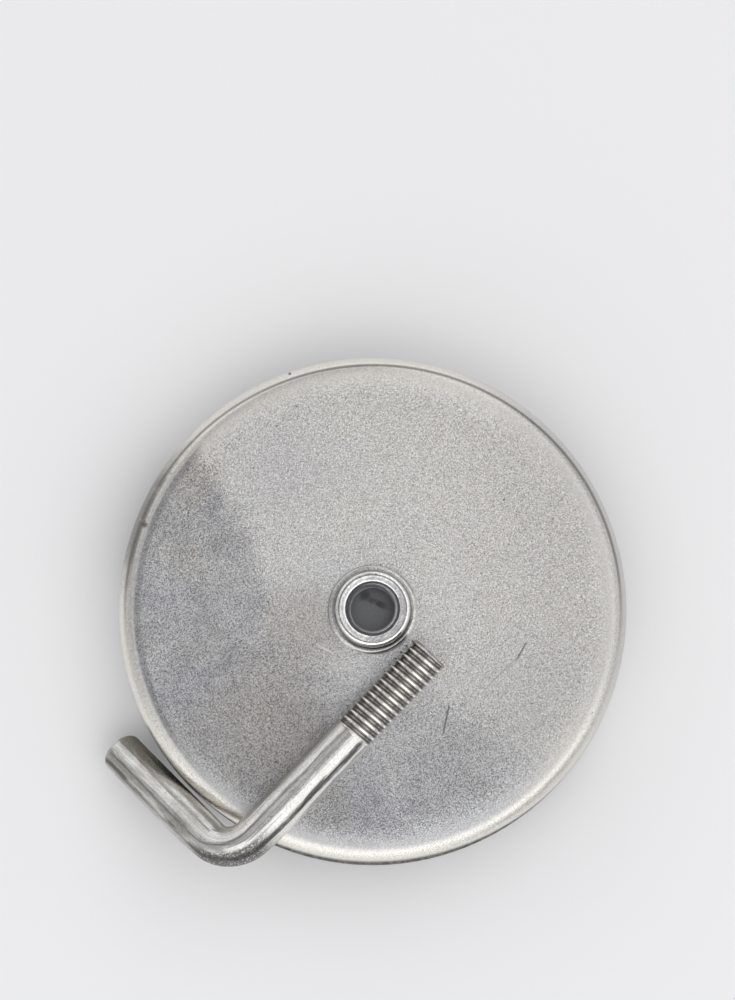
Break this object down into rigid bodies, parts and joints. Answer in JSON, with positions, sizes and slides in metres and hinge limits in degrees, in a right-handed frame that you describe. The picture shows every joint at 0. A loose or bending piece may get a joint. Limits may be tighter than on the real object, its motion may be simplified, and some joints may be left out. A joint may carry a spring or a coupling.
{
  "type": "magnetic hook",
  "caption": "Round pot magnet with a threaded bush in its back, and the bent steel hook that screws into the bush, laid loose across the magnet's back.",
  "frame": {"origin": "middle of the magnet's contact face", "axes": "+Z runs out of the pot's back along the threaded bore, +X along the hook's long leg from its bend to its thread, +Y from the long leg to the side of the short leg"},
  "size_m": [0.0654, 0.06, 0.016],
  "materials": {
    "pot_nickel": "satin nickel plate on drawn sheet steel, finely grained and faintly stained",
    "bush_nickel": "nickel plate on turned steel, bright on the edges",
    "ferrite": "dark grey sintered hard ferrite, dull",
    "bonding_resin": "dark cast epoxy resin, semi-gloss",
    "hook_nickel": "nickel plate on drawn steel rod, semi-bright"
  },
  "bodies": {
    "magnet_body": {"pot": "pot_nickel", "threaded_bush": "bush_nickel", "magnet": "ferrite", "bonding_resin": "bonding_resin"},
    "hook_body": {"hook": "hook_nickel"}
  },
  "joints": [
    {"name": "hook_lift", "type": "slide", "parent": "magnet_body", "child": "hook_body", "axis": [0, 0, 1], "range_m": [0, 0.025]}
  ]
}
